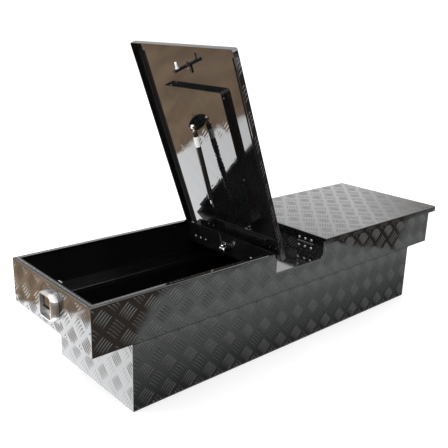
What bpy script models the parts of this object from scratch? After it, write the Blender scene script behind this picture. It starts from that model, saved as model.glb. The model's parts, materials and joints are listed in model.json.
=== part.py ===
"""Gull-wing crossover truck tool box, built as separate sheet-metal, hinge, strut and latch pieces.

Frame: +X along the box's length, +Y towards the cab side (rear wall), +Z up.
The origin is on the ground plane under the middle of the box. Metres.
The left lid stands open and the right lid is shut. A piece of either end is modelled once in an
"outward" frame, where +X points from the middle to the end, and is mirrored for the left end.
"""
import math

import bmesh
import bpy
from mathutils import Euler, Matrix, Vector

# ---------------------------------------------------------------- driving dimensions
BOX_LENGTH = 1.700          # upper band, end to end
BOX_DEPTH = 0.500           # upper band, front to rear
BOX_HEIGHT = 0.384          # ground to rim
BAND_HEIGHT = 0.154         # upper band that spans the truck bed
SHELF_LENGTH = 0.135        # overhang of each end shelf beyond the tub
REAR_STEP = 0.044           # the tub's rear wall stands this far inside the band
SHEET = 0.002               # aluminium sheet
GAP = 0.0003                # clearance between touching pieces
RIM_WIDTH = 0.019           # inward return flange round the mouth
BEND_RADIUS = 0.003
BAND_LAP = 0.015            # the band laps over the tub's front sheet

TROUGH_HALF = 0.131         # half width of the recess between the lids
TROUGH_DEPTH = 0.074
NOTCH_LEFT = 0.118          # the front cut-out starts this far left of centre
NOTCH_RADIUS = 0.018        # its right lower corner

LID_RISE = 0.006            # lid skin above the rim
LID_FLANGE = 0.022          # drop of the lid's side and end flanges
LID_SIDE_OVERHANG = 0.014
LID_END_OVERHANG = 0.032
LID_CORNER = 0.008          # outer radius of the free corners
LID_ANGLE = math.radians(69.6)
LID_INNER_EDGE = 0.1262     # the lid's edge at the trough
LID_HINGE_FLANGE = 0.0355   # drop of the flange that carries the hinges
LID_HINGE_FLANGE_HALF = 0.243

PAN_START, PAN_END = 0.250, 0.738      # stiffening pan under the lid, outward
PAN_HALF = 0.150
PAN_Y = -0.010
PAN_DROP = 0.020
PAN_SHEET = 0.0015

HINGE_X = 0.1265
HINGE_Z = BOX_HEIGHT - 0.035
HINGE_CENTRES = (-0.165, 0.148)
HINGE_LENGTH = 0.076
KNUCKLES = 5
KNUCKLE_RADIUS = 0.0042
HINGE_PIN_RADIUS = 0.0018
LEAF_SHEET = 0.0016
LEAF_DROP = 0.024
RIVET_PITCH = 0.030
RIVET_OFFSET = 0.0155       # rivet rows above and below the hinge axis
RIVET_SHANK = 0.0022
RIVET_HEAD = 0.0044

STRUT_Y = -0.013
STRUT_LOW = Vector((0.155, STRUT_Y, 0.3365))
STRUT_TOP = Vector((0.617, STRUT_Y, 0.337))    # on the shut lid
STRUT_EAR = 0.0118          # from the strut's middle plane to the brackets' ears
CYLINDER_RADIUS = 0.0092
CYLINDER_LENGTH = 0.262
ROD_RADIUS = 0.004
BALL_RADIUS = 0.0048
SOCKET_RADIUS = 0.0076

LATCH_Y = -0.015
LATCH_Z = 0.311
LATCH_PROUD = 0.0215
PADDLE_HALF = 0.026
PADDLE_TOP = 0.3425
PADDLE_U = 0.012            # paddle pin, outward of the end wall
LOCK_Y = LATCH_Y - 0.022
LOCK_Z = 0.288
LOCK_RADIUS = 0.0065

STRIKER_X = 0.8100
STRIKER_RADIUS = 0.0055
STRIKER_PIN_Y = LATCH_Y + 0.012
STRIKER_PIN_Z = 0.345
STRIKER_PIN_RADIUS = 0.004
STRIKER_PIN_END = 0.8375
CATCH_X = 0.8215            # inner face of the catch plate
CATCH_SHEET = 0.003
CATCH_PIVOT = (-0.013, -0.018)             # from the striker pin, in Y and Z
CATCH_PIVOT_RADIUS = 0.003
LUG_LOW, LUG_HIGH = -0.040, -0.034         # the paddle's lug and the catch's tab, in Y

# ---------------------------------------------------------------- derived sizes
HALF_LENGTH = BOX_LENGTH / 2
HALF_DEPTH = BOX_DEPTH / 2
BAND_BOTTOM = BOX_HEIGHT - BAND_HEIGHT
TUB_HALF = HALF_LENGTH - SHELF_LENGTH
TUB_FRONT = -HALF_DEPTH + SHEET + GAP      # outer face of the tub's front sheet
TUB_REAR = HALF_DEPTH - REAR_STEP          # outer face of the tub's rear sheet
INSIDE_DEPTH = HALF_DEPTH - SHEET - GAP    # half depth between the band's sheets
TROUGH_TOP = BOX_HEIGHT - TROUGH_DEPTH
LID_TOP = BOX_HEIGHT + LID_RISE
LID_UNDERSIDE = LID_TOP - SHEET
LID_FREE_EDGE = HALF_LENGTH + LID_END_OVERHANG
LID_HALF_DEPTH = HALF_DEPTH + LID_SIDE_OVERHANG
PAN_FACE = LID_UNDERSIDE - PAN_DROP
STRUT_EAR_Y = STRUT_Y + STRUT_EAR          # face of the ears
HINGE_AXIS = Vector((HINGE_X, 0.0, HINGE_Z))

LEFT, RIGHT = -1, 1
SIDE_NAMES = {LEFT: "left", RIGHT: "right"}


# ---------------------------------------------------------------- materials
def make_material(name, color, roughness, metallic):
    material = bpy.data.materials.new(name)
    material.use_nodes = True
    shader = material.node_tree.nodes["Principled BSDF"]
    shader.inputs["Base Color"].default_value = (*color, 1.0)
    shader.inputs["Roughness"].default_value = roughness
    shader.inputs["Metallic"].default_value = metallic
    return material


def make_materials():
    return {
        "black_tread": make_material("black_tread", (0.025, 0.026, 0.028), 0.22, 0.6),
        "black_sheet": make_material("black_sheet", (0.012, 0.012, 0.013), 0.30, 0.4),
        "black_gloss": make_material("black_gloss", (0.020, 0.020, 0.021), 0.08, 0.5),
        "zinc": make_material("zinc", (0.72, 0.72, 0.70), 0.25, 1.0),
        "stainless": make_material("stainless", (0.80, 0.80, 0.79), 0.18, 1.0),
        "chrome": make_material("chrome", (0.86, 0.86, 0.87), 0.08, 1.0),
        "strut_black": make_material("strut_black", (0.015, 0.015, 0.016), 0.35, 0.0),
        "seal_rubber": make_material("seal_rubber", (0.018, 0.018, 0.018), 0.85, 0.0),
    }


# ---------------------------------------------------------------- mesh helpers
def add_prism(bm, axis, outline, low, high):
    """Extrude a closed outline along an axis; outline points are the other two axes in X, Y, Z order."""
    places = {"x": (1, 2, 0), "y": (0, 2, 1), "z": (0, 1, 2)}[axis]
    rings = []
    for level in (low, high):
        ring = []
        for first, second in outline:
            position = [0.0, 0.0, 0.0]
            position[places[0]] = first
            position[places[1]] = second
            position[places[2]] = level
            ring.append(bm.verts.new(position))
        rings.append(ring)
    faces = [bm.faces.new(rings[0]), bm.faces.new(rings[1])]
    count = len(outline)
    for index in range(count):
        following = (index + 1) % count
        faces.append(bm.faces.new((rings[0][index], rings[0][following],
                                   rings[1][following], rings[1][index])))
    bmesh.ops.recalc_face_normals(bm, faces=faces)


def add_box(bm, low, high):
    outline = [(low[0], low[1]), (high[0], low[1]), (high[0], high[1]), (low[0], high[1])]
    add_prism(bm, "z", outline, low[2], high[2])


def box(low, high):
    bm = bmesh.new()
    add_box(bm, low, high)
    return bm


def prism(axis, outline, low, high):
    bm = bmesh.new()
    add_prism(bm, axis, outline, low, high)
    return bm


def add_loft(bm, loops):
    """Skin a list of equally long loops and cap both ends."""
    rings = [[bm.verts.new(point) for point in loop] for loop in loops]
    faces = [bm.faces.new(rings[0]), bm.faces.new(rings[-1])]
    count = len(rings[0])
    for lower, upper in zip(rings, rings[1:]):
        for index in range(count):
            following = (index + 1) % count
            faces.append(bm.faces.new((lower[index], lower[following],
                                       upper[following], upper[index])))
    bmesh.ops.recalc_face_normals(bm, faces=faces)


def add_turned(bm, profile, origin, axis, segments):
    """Turn a profile of (distance along the axis, radius) about an axis through origin."""
    spin = Vector((0.0, 0.0, 1.0)).rotation_difference(Vector(axis)).to_matrix()
    loops = []
    for distance, radius in profile:
        loop = []
        for step in range(segments):
            angle = math.tau * step / segments
            point = Vector((radius * math.cos(angle), radius * math.sin(angle), distance))
            loop.append(Vector(origin) + spin @ point)
        loops.append(loop)
    add_loft(bm, loops)


def turned(profile, origin, axis, segments=16):
    bm = bmesh.new()
    add_turned(bm, profile, origin, axis, segments)
    return bm


def rod_between(bm, start, end, radius, segments=12):
    length = (Vector(end) - Vector(start)).length
    add_turned(bm, [(0.0, radius), (length, radius)], start, Vector(end) - Vector(start), segments)


def arc_points(centre, radius, start, end, segments):
    """Points on an arc from start to end, in radians."""
    points = []
    for step in range(segments + 1):
        angle = start + (end - start) * step / segments
        points.append((centre[0] + radius * math.cos(angle), centre[1] + radius * math.sin(angle)))
    return points


def rounded_rectangle(half_width, half_height, radius, centre=(0.0, 0.0), segments=3):
    points = []
    corners = ((1, 1, 0.0), (-1, 1, 0.5), (-1, -1, 1.0), (1, -1, 1.5))
    for sign_u, sign_v, turn in corners:
        middle = (centre[0] + sign_u * (half_width - radius), centre[1] + sign_v * (half_height - radius))
        points += arc_points(middle, radius, turn * math.pi, (turn + 0.5) * math.pi, segments)
    return points


def combine(base, tool, operation):
    """Exact Boolean of two meshes, which are used up; returns the result."""
    operands = []
    for source in (base, tool):
        mesh = bpy.data.meshes.new("operand")
        source.to_mesh(mesh)
        source.free()
        operand = bpy.data.objects.new("operand", mesh)
        bpy.context.scene.collection.objects.link(operand)
        operands.append(operand)
    modifier = operands[0].modifiers.new("combine", "BOOLEAN")
    modifier.operation = operation
    modifier.solver = "EXACT"
    modifier.object = operands[1]
    evaluated = operands[0].evaluated_get(bpy.context.evaluated_depsgraph_get())
    result = bmesh.new()
    result.from_mesh(evaluated.to_mesh())
    for operand in operands:
        mesh = operand.data
        bpy.data.objects.remove(operand)
        bpy.data.meshes.remove(mesh)
    return result


def cut(base, tool):
    return combine(base, tool, "DIFFERENCE")


def join(base, tool):
    return combine(base, tool, "UNION")


def mirror_to(bm, side):
    """Take a mesh from the outward frame to its side of the box."""
    if side == LEFT:
        bmesh.ops.scale(bm, vec=(-1.0, 1.0, 1.0), verts=bm.verts)
        bmesh.ops.reverse_faces(bm, faces=bm.faces)
    return bm


def on_side(point, side):
    return Vector((side * point[0], point[1], point[2]))


# ---------------------------------------------------------------- scene helpers
def add_empty(name, location, rotation=(0.0, 0.0, 0.0), parent=None):
    empty = bpy.data.objects.new(name, None)
    empty.location = location
    empty.rotation_euler = Euler(rotation)
    empty.parent = parent
    empty.empty_display_size = 0.03
    bpy.context.scene.collection.objects.link(empty)
    return empty


def add_part(name, bm, material, parent=None, origin=(0.0, 0.0, 0.0), smooth=False):
    """Add one piece; its mesh is moved so that its own origin is at the given point.

    Under a parent empty the origin sits on the empty, so the piece hangs on its joint's axis.
    """
    bmesh.ops.translate(bm, vec=-Vector(origin), verts=bm.verts)
    mesh = bpy.data.meshes.new(name)
    bm.to_mesh(mesh)
    bm.free()
    mesh.materials.append(material)
    part = bpy.data.objects.new(name, mesh)
    bpy.context.scene.collection.objects.link(part)
    if smooth:
        mesh.shade_smooth()
        mesh.set_sharp_from_angle(angle=math.radians(35.0))
    part.parent = parent
    if parent is None:
        part.location = origin
    return part


# ---------------------------------------------------------------- box body
def flanged_outline(wall, inward, bottom):
    """Section of a wall sheet with a return flange at the rim; wall is its outer face."""
    step = BEND_RADIUS * inward
    corner = [(wall, BOX_HEIGHT - BEND_RADIUS)]
    for index in range(1, 4):
        angle = math.pi / 2 * index / 3
        corner.append((wall + step * (1 - math.cos(angle)),
                       BOX_HEIGHT - BEND_RADIUS * (1 - math.sin(angle))))
    return [(wall, bottom), *corner,
            (wall + inward * RIM_WIDTH, BOX_HEIGHT),
            (wall + inward * RIM_WIDTH, BOX_HEIGHT - SHEET),
            (wall + inward * SHEET, BOX_HEIGHT - SHEET),
            (wall + inward * SHEET, bottom)]


def notch_tool(left, right, left_radius, right_radius):
    """Cutter for the trough's mouth in a front or rear sheet."""
    top = BOX_HEIGHT + 0.01
    outline = [(left, top)]
    if left_radius:
        outline += arc_points((left + left_radius, TROUGH_TOP + left_radius), left_radius,
                              math.pi, 1.5 * math.pi, 5)
    else:
        outline.append((left, TROUGH_TOP))
    outline += arc_points((right - right_radius, TROUGH_TOP + right_radius), right_radius,
                          1.5 * math.pi, 2 * math.pi, 5)
    outline.append((right, top))
    return prism("y", outline, -HALF_DEPTH - 0.01, HALF_DEPTH + 0.01)


def band_wall(facing, left_radius, notch_left):
    """Front (-1) or rear (+1) sheet of the upper band, with its trough cut-out."""
    outline = flanged_outline(facing * HALF_DEPTH, -facing, BAND_BOTTOM)
    wall = prism("x", outline, -HALF_LENGTH, HALF_LENGTH)
    inner = facing * (HALF_DEPTH - SHEET - GAP)
    reach = facing * (HALF_DEPTH - RIM_WIDTH - 0.01)
    clear = TROUGH_HALF + SHEET + GAP
    flange_gap = box((-clear, min(inner, reach), BOX_HEIGHT - 0.02),
                     (clear, max(inner, reach), BOX_HEIGHT + 0.01))
    wall = cut(wall, flange_gap)
    return cut(wall, notch_tool(-notch_left, TROUGH_HALF, left_radius, NOTCH_RADIUS))


def end_wall():
    outline = flanged_outline(HALF_LENGTH, -1, BAND_BOTTOM)
    wall = prism("y", outline, -INSIDE_DEPTH, INSIDE_DEPTH)
    flange_half = HALF_DEPTH - RIM_WIDTH - GAP
    for low, high in ((-HALF_DEPTH, -flange_half), (flange_half, HALF_DEPTH)):
        corner = box((HALF_LENGTH - RIM_WIDTH - 0.01, low, BOX_HEIGHT - SHEET - GAP),
                     (HALF_LENGTH + 0.01, high, BOX_HEIGHT + 0.01))
        wall = cut(wall, corner)
    latch_hole = prism("x", rounded_rectangle(0.031, 0.036, 0.006, (LATCH_Y, LATCH_Z)),
                       HALF_LENGTH - 0.01, HALF_LENGTH + 0.01)
    return cut(wall, latch_hole)


def build_box(materials):
    tread = materials["black_tread"]
    plain = materials["black_sheet"]
    add_part("front_band_panel", band_wall(-1, 0.0, NOTCH_LEFT), tread)
    add_part("rear_band_panel", band_wall(1, NOTCH_RADIUS, TROUGH_HALF), tread)
    add_part("tub_floor", box((-TUB_HALF, TUB_FRONT, 0.0), (TUB_HALF, TUB_REAR, SHEET)), tread)
    low = SHEET + GAP
    tub_inside_front = TUB_FRONT + SHEET
    tub_inside_rear = TUB_REAR - SHEET
    add_part("tub_front_panel", box((-TUB_HALF, TUB_FRONT, low),
                                    (TUB_HALF, tub_inside_front, BAND_BOTTOM + BAND_LAP)), tread)
    add_part("tub_rear_panel", box((-TUB_HALF, tub_inside_rear, low),
                                   (TUB_HALF, TUB_REAR, BAND_BOTTOM - GAP)), tread)
    for side in (LEFT, RIGHT):
        name = SIDE_NAMES[side]
        add_part(f"{name}_end_panel", mirror_to(end_wall(), side), tread)
        wall = box((TUB_HALF - SHEET, tub_inside_front + GAP, low),
                   (TUB_HALF, tub_inside_rear - GAP, BAND_BOTTOM - GAP))
        add_part(f"tub_{name}_panel", mirror_to(wall, side), tread)
        shelf = prism("z", [(TUB_HALF - SHEET, tub_inside_front + GAP), (TUB_HALF + GAP, tub_inside_front + GAP),
                            (TUB_HALF + GAP, -INSIDE_DEPTH), (HALF_LENGTH - SHEET - GAP, -INSIDE_DEPTH),
                            (HALF_LENGTH - SHEET - GAP, INSIDE_DEPTH), (TUB_HALF - SHEET, INSIDE_DEPTH)],
                      BAND_BOTTOM, BAND_BOTTOM + SHEET)
        add_part(f"{name}_shelf", mirror_to(shelf, side), tread)
    ledge_half = TUB_HALF - SHEET - GAP
    lip = tub_inside_rear - GAP
    ledge = prism("x", [(INSIDE_DEPTH, BAND_BOTTOM), (INSIDE_DEPTH, BAND_BOTTOM + SHEET),
                        (lip - SHEET, BAND_BOTTOM + SHEET), (lip - SHEET, BAND_BOTTOM - 0.014),
                        (lip, BAND_BOTTOM - 0.014), (lip, BAND_BOTTOM)],
                  -ledge_half + GAP, ledge_half - GAP)
    add_part("rear_ledge", ledge, plain)
    add_part("trough_floor", box((-TROUGH_HALF - SHEET, -INSIDE_DEPTH, TROUGH_TOP - SHEET),
                                 (TROUGH_HALF + SHEET, INSIDE_DEPTH, TROUGH_TOP)), plain)
    for side in (LEFT, RIGHT):
        wall = box((TROUGH_HALF, -INSIDE_DEPTH, TROUGH_TOP + GAP),
                   (TROUGH_HALF + SHEET, INSIDE_DEPTH, BOX_HEIGHT))
        wall = cut(wall, rivet_holes(TROUGH_HALF, -RIVET_OFFSET))
        add_part(f"trough_{SIDE_NAMES[side]}_wall", mirror_to(wall, side), tread)


# ---------------------------------------------------------------- hinges
def rivet_places(centre, row):
    """Y and Z of every rivet of one leaf."""
    return [(centre + step * RIVET_PITCH, HINGE_Z + row) for step in (-1, 0, 1)]


def rivet_holes(x, row):
    holes = bmesh.new()
    for centre in HINGE_CENTRES:
        for y, z in rivet_places(centre, row):
            rod_between(holes, (x - 0.006, y, z), (x + 0.006, y, z), RIVET_SHANK + GAP, 8)
    return holes


def hinge_leaf(centre, leaf_face, direction, knuckle_parity):
    """One leaf with its knuckles and its set rivets, whose shanks pass through the sheet behind it.

    direction is +1 for the leaf that runs up the lid's flange and -1 for the one down the wall.
    """
    low, high = centre - HINGE_LENGTH / 2, centre + HINGE_LENGTH / 2
    pitch = HINGE_LENGTH / KNUCKLES
    near = HINGE_Z + direction * (KNUCKLE_RADIUS + 0.0005)
    far = HINGE_Z + direction * LEAF_DROP
    back = leaf_face + LEAF_SHEET
    leaf = box((leaf_face, low, min(near, far)), (back, high, max(near, far)))
    for index in range(knuckle_parity, KNUCKLES, 2):
        start = low + index * pitch + (0.0002 if index else 0.0)
        end = low + (index + 1) * pitch - (0.0002 if index < KNUCKLES - 1 else 0.0)
        tab_far = near + direction * 0.002
        tab = box((leaf_face, start, min(HINGE_Z, tab_far)), (back, end, max(HINGE_Z, tab_far)))
        leaf = join(leaf, tab)
        barrel = bmesh.new()
        rod_between(barrel, (HINGE_X, start, HINGE_Z), (HINGE_X, end, HINGE_Z), KNUCKLE_RADIUS, 12)
        leaf = join(leaf, barrel)
    bore = bmesh.new()
    rod_between(bore, (HINGE_X, low - 0.01, HINGE_Z), (HINGE_X, high + 0.01, HINGE_Z),
                HINGE_PIN_RADIUS + GAP, 12)
    leaf = cut(leaf, bore)
    tail = LEAF_SHEET + 2 * GAP + SHEET
    profile = [(-0.0020, RIVET_HEAD * 0.45), (-0.0014, RIVET_HEAD * 0.8), (0.0002, RIVET_HEAD),
               (0.0004, RIVET_SHANK), (tail, RIVET_SHANK), (tail + 0.0001, RIVET_SHANK * 1.5),
               (tail + 0.0013, RIVET_SHANK * 1.2)]
    rivets = bmesh.new()
    for y, z in rivet_places(centre, direction * RIVET_OFFSET):
        add_turned(rivets, profile, (leaf_face, y, z), (1.0, 0.0, 0.0), 8)
    return join(leaf, rivets)


def hinge_pin(centre):
    half = HINGE_LENGTH / 2
    profile = [(0.0, HINGE_PIN_RADIUS - 0.0004), (0.0006, HINGE_PIN_RADIUS),
               (2 * half - 0.0006, HINGE_PIN_RADIUS), (2 * half, HINGE_PIN_RADIUS - 0.0004)]
    return turned(profile, (HINGE_X, centre - half, HINGE_Z), (0.0, 1.0, 0.0), 12)


def build_hinges(materials, side, lid_pivot):
    name = SIDE_NAMES[side]
    plain = materials["black_sheet"]
    wall_leaf = TROUGH_HALF - GAP - LEAF_SHEET
    lid_leaf = LID_INNER_EDGE - LEAF_SHEET - GAP
    for centre in HINGE_CENTRES:
        label = f"{name}_{'front' if centre < 0 else 'rear'}_hinge"
        axis = on_side((HINGE_X, centre, HINGE_Z), side)
        add_part(f"{label}_box_leaf", mirror_to(hinge_leaf(centre, wall_leaf, -1, 0), side), plain,
                 origin=axis, smooth=True)
        lid_part = add_part(f"{label}_lid_leaf", mirror_to(hinge_leaf(centre, lid_leaf, 1, 1), side), plain,
                            parent=lid_pivot, origin=axis, smooth=True)
        lid_part.location = (0.0, centre, 0.0)
        add_part(f"{label}_pin", mirror_to(hinge_pin(centre), side), materials["zinc"],
                 origin=axis, smooth=True)


# ---------------------------------------------------------------- lids
def round_free_corners(bm, radius):
    """Round the two upright edges of a lid's box at its free end."""
    end = max(vert.co.x for vert in bm.verts)
    upright = [edge for edge in bm.edges
               if all(vert.co.x > end - 0.001 for vert in edge.verts)
               and abs(edge.verts[0].co.y - edge.verts[1].co.y) < 0.001]
    bmesh.ops.bevel(bm, geom=upright, offset=radius, segments=5, profile=0.5, affect="EDGES")


def lid_skin():
    """Folded lid: skin, side and end flanges, and a deeper, narrower flange at the hinges."""
    outer = box((LID_INNER_EDGE, -LID_HALF_DEPTH, LID_TOP - LID_FLANGE),
                (LID_FREE_EDGE, LID_HALF_DEPTH, LID_TOP))
    round_free_corners(outer, LID_CORNER)
    top_edges = [edge for edge in outer.edges if min(vert.co.z for vert in edge.verts) > LID_TOP - 0.001]
    bmesh.ops.bevel(outer, geom=top_edges, offset=BEND_RADIUS, segments=3, profile=0.5, affect="EDGES")
    hollow = box((LID_INNER_EDGE - 0.01, -LID_HALF_DEPTH + SHEET, LID_TOP - LID_FLANGE - 0.01),
                 (LID_FREE_EDGE - SHEET, LID_HALF_DEPTH - SHEET, LID_UNDERSIDE))
    round_free_corners(hollow, LID_CORNER - SHEET)
    lid = cut(outer, hollow)
    hinge_flange = box((LID_INNER_EDGE, -LID_HINGE_FLANGE_HALF, LID_TOP - LID_HINGE_FLANGE),
                       (LID_INNER_EDGE + SHEET, LID_HINGE_FLANGE_HALF, LID_UNDERSIDE + SHEET / 2))
    lid = join(lid, hinge_flange)
    return cut(lid, rivet_holes(LID_INNER_EDGE, RIVET_OFFSET))


def stiffening_pan():
    """Shallow tray welded under the skin."""
    middle = ((PAN_START + PAN_END) / 2, PAN_Y)
    half = ((PAN_END - PAN_START) / 2, PAN_HALF)
    outer = prism("z", rounded_rectangle(half[0], half[1], 0.008, middle, 2),
                  PAN_FACE, LID_UNDERSIDE - GAP)
    inner = prism("z", rounded_rectangle(half[0] - PAN_SHEET, half[1] - PAN_SHEET, 0.0065, middle, 2),
                  PAN_FACE + PAN_SHEET, LID_UNDERSIDE + 0.01)
    return cut(outer, inner)


def lid_seal(end):
    """Foam strip that lands on the front (end -1) or rear (end 1) rim flange."""
    outer_y = end * (HALF_DEPTH - 0.002)
    inner_y = end * (HALF_DEPTH - 0.016)
    low, high = BOX_HEIGHT + GAP, LID_UNDERSIDE - GAP
    return box((TROUGH_HALF + SHEET + GAP, min(outer_y, inner_y), low),
               (HALF_LENGTH - 0.002, max(outer_y, inner_y), high))


def striker_post():
    """Turned post that hangs from the lid on a strap foot and carries the striker pin."""
    foot = LID_UNDERSIDE - GAP
    tip = STRIKER_PIN_Z - 0.015
    profile = [(0.0, 0.0115), (0.0025, 0.0115), (0.004, STRIKER_RADIUS + 0.0015),
               (0.007, STRIKER_RADIUS), (foot - tip - 0.004, STRIKER_RADIUS),
               (foot - tip - 0.003, STRIKER_RADIUS + 0.001), (foot - tip, STRIKER_RADIUS + 0.001)]
    post = turned(profile, (STRIKER_X, STRIKER_PIN_Y, foot), (0.0, 0.0, -1.0), 14)
    strap = box((STRIKER_X - 0.0235, STRIKER_PIN_Y - 0.019, foot - 0.004),
                (STRIKER_X + 0.004, STRIKER_PIN_Y - 0.0095, foot))
    return join(post, strap)


def striker_pin():
    start = STRIKER_X + STRIKER_RADIUS + GAP
    length = STRIKER_PIN_END - start
    profile = [(0.0, 0.0075), (0.0018, 0.0075), (0.0022, STRIKER_PIN_RADIUS),
               (length - 0.0012, STRIKER_PIN_RADIUS), (length, STRIKER_PIN_RADIUS - 0.0012)]
    return turned(profile, (start, STRIKER_PIN_Y, STRIKER_PIN_Z), (1.0, 0.0, 0.0), 14)


def upper_strut_bracket():
    """Foot on the stiffening pan with a D-shaped ear for the strut's upper stud."""
    foot_top = PAN_FACE - GAP
    foot_low = foot_top - SHEET
    half = 0.025
    foot = box((STRUT_TOP.x - half, STRUT_EAR_Y, foot_low),
               (STRUT_TOP.x + half, STRUT_EAR_Y + 0.022, foot_top))
    depth = foot_low - (STRUT_TOP.z - 0.009)
    outline = [(STRUT_TOP.x - half, foot_low + SHEET / 2), (STRUT_TOP.x - half, foot_low)]
    for step in range(1, 10):
        angle = math.pi + math.pi * step / 10
        outline.append((STRUT_TOP.x + half * math.cos(angle), foot_low + depth * math.sin(angle)))
    outline += [(STRUT_TOP.x + half, foot_low), (STRUT_TOP.x + half, foot_low + SHEET / 2)]
    ear = prism("y", outline, STRUT_EAR_Y, STRUT_EAR_Y + SHEET)
    bracket = join(foot, ear)
    nut = turned([(0.0, 0.0062), (0.004, 0.0062)],
                 (STRUT_TOP.x, STRUT_EAR_Y + SHEET * 0.5, STRUT_TOP.z), (0.0, 1.0, 0.0), 6)
    return join(bracket, nut)


def build_lid(materials, side):
    name = SIDE_NAMES[side]
    opening = LID_ANGLE if side == LEFT else 0.0
    axis = on_side(HINGE_AXIS, side)
    pivot = add_empty(f"{name}_lid_pivot", axis, (0.0, opening, 0.0))
    pieces = (
        ("lid_skin", lid_skin(), "black_tread", False),
        ("lid_stiffener", stiffening_pan(), "black_gloss", False),
        ("lid_front_seal", lid_seal(-1), "seal_rubber", False),
        ("lid_rear_seal", lid_seal(1), "seal_rubber", False),
        ("striker_post", striker_post(), "strut_black", True),
        ("striker_pin", striker_pin(), "chrome", True),
        ("strut_lid_bracket", upper_strut_bracket(), "strut_black", False),
    )
    for label, bm, material, smooth in pieces:
        add_part(f"{name}_{label}", mirror_to(bm, side), materials[material],
                 parent=pivot, origin=axis, smooth=smooth)
    return pivot


# ---------------------------------------------------------------- gas struts
def lower_strut_bracket():
    """Plate on the trough wall's inner face, an ear, and the fixed ball stud."""
    face = TROUGH_HALF + SHEET + GAP
    plate = box((face, STRUT_EAR_Y, STRUT_LOW.z - 0.013),
                (face + SHEET, STRUT_EAR_Y + 0.026, STRUT_LOW.z + 0.017))
    half = 0.010
    outline = [(face, STRUT_LOW.z - 0.011), (STRUT_LOW.x, STRUT_LOW.z - half)]
    outline += arc_points((STRUT_LOW.x, STRUT_LOW.z), half, -math.pi / 2 + 0.3, math.pi / 2 - 0.3, 6)
    outline += [(STRUT_LOW.x, STRUT_LOW.z + half), (face, STRUT_LOW.z + 0.015)]
    bracket = join(plate, prism("y", outline, STRUT_EAR_Y, STRUT_EAR_Y + SHEET))
    base = (STRUT_LOW.x, STRUT_EAR_Y + SHEET / 2, STRUT_LOW.z)
    stud = turned(ball_stud_profile(STRUT_EAR + SHEET / 2), base, (0.0, -1.0, 0.0), 12)
    return join(bracket, stud)


def ball_stud_profile(reach):
    """Shank and ball, measured from the ear towards the strut; the ball's centre is at reach."""
    profile = [(0.0, 0.0050), (0.0030, 0.0050), (0.0032, 0.0028)]
    for step in range(1, 8):
        angle = math.radians(40.0 + 140.0 * step / 8)
        profile.append((reach - BALL_RADIUS * math.cos(angle), BALL_RADIUS * math.sin(angle)))
    profile.append((reach + BALL_RADIUS, 0.0008))
    return profile


def strut_rod():
    """Rod with its lower socket at the origin and its piston inside the cylinder; local +Z is up the strut."""
    profile = [(0.0085, 0.0048), (0.012, SOCKET_RADIUS), (0.020, 0.0062), (0.0215, ROD_RADIUS),
               (0.232, ROD_RADIUS), (0.2325, 0.0068), (0.240, 0.0068)]
    rod = turned(profile, (0.0, 0.0, 0.0), (0.0, 0.0, 1.0), 14)
    socket = turned([(-0.0062, 0.0066), (-0.0050, SOCKET_RADIUS), (0.0050, SOCKET_RADIUS), (0.0062, 0.0066)],
                    (0.0, 0.0, 0.0), (0.0, 1.0, 0.0), 14)
    rod = join(rod, socket)
    neck = turned([(0.004, 0.0042), (0.011, 0.0046)], (0.0, 0.0, 0.0), (0.0, 0.0, 1.0), 12)
    rod = join(rod, neck)
    pocket = turned([(-0.0052, BALL_RADIUS + GAP), (0.008, BALL_RADIUS + GAP)],
                    (0.0, 0.0, 0.0), (0.0, 1.0, 0.0), 12)
    return cut(rod, pocket)


def strut_cylinder():
    """Cylinder below its upper socket; the socket's centre is the origin and local -Z is down the strut."""
    top = 0.016
    bottom = top + CYLINDER_LENGTH
    profile = [(0.005, 0.0046), (top - 0.004, 0.0046), (top - 0.003, 0.0060), (top, 0.0060),
               (top + 0.0025, CYLINDER_RADIUS), (bottom - 0.005, CYLINDER_RADIUS),
               (bottom - 0.0035, CYLINDER_RADIUS - 0.0008), (bottom, CYLINDER_RADIUS - 0.0020)]
    cylinder = turned(profile, (0.0, 0.0, 0.0), (0.0, 0.0, -1.0), 20)
    socket = turned([(-0.0062, 0.0066), (-0.0050, SOCKET_RADIUS), (0.0050, SOCKET_RADIUS), (0.0062, 0.0066)],
                    (0.0, 0.0, 0.0), (0.0, 1.0, 0.0), 14)
    cylinder = join(cylinder, socket)
    bore = turned([(top + 0.02, 0.0074), (bottom - 0.004, 0.0074), (bottom - 0.0035, ROD_RADIUS + 0.0005),
                   (bottom + 0.01, ROD_RADIUS + 0.0005)], (0.0, 0.0, 0.0), (0.0, 0.0, -1.0), 14)
    cylinder = cut(cylinder, bore)
    pocket = turned([(-0.0052, BALL_RADIUS + GAP), (0.008, BALL_RADIUS + GAP)],
                    (0.0, 0.0, 0.0), (0.0, 1.0, 0.0), 12)
    return cut(cylinder, pocket)


def strut_stud():
    """Upper ball stud; its flange bears on the lid bracket's ear."""
    face = STRUT_EAR - GAP
    return turned(ball_stud_profile(face), (0.0, face, 0.0), (0.0, -1.0, 0.0), 12)


def lid_point(point, side):
    """Where a point of the shut lid is with this side's lid as it stands."""
    if side == RIGHT:
        return on_side(point, side)
    axis = on_side(HINGE_AXIS, side)
    return axis + Matrix.Rotation(LID_ANGLE, 3, "Y") @ (on_side(point, side) - axis)


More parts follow.
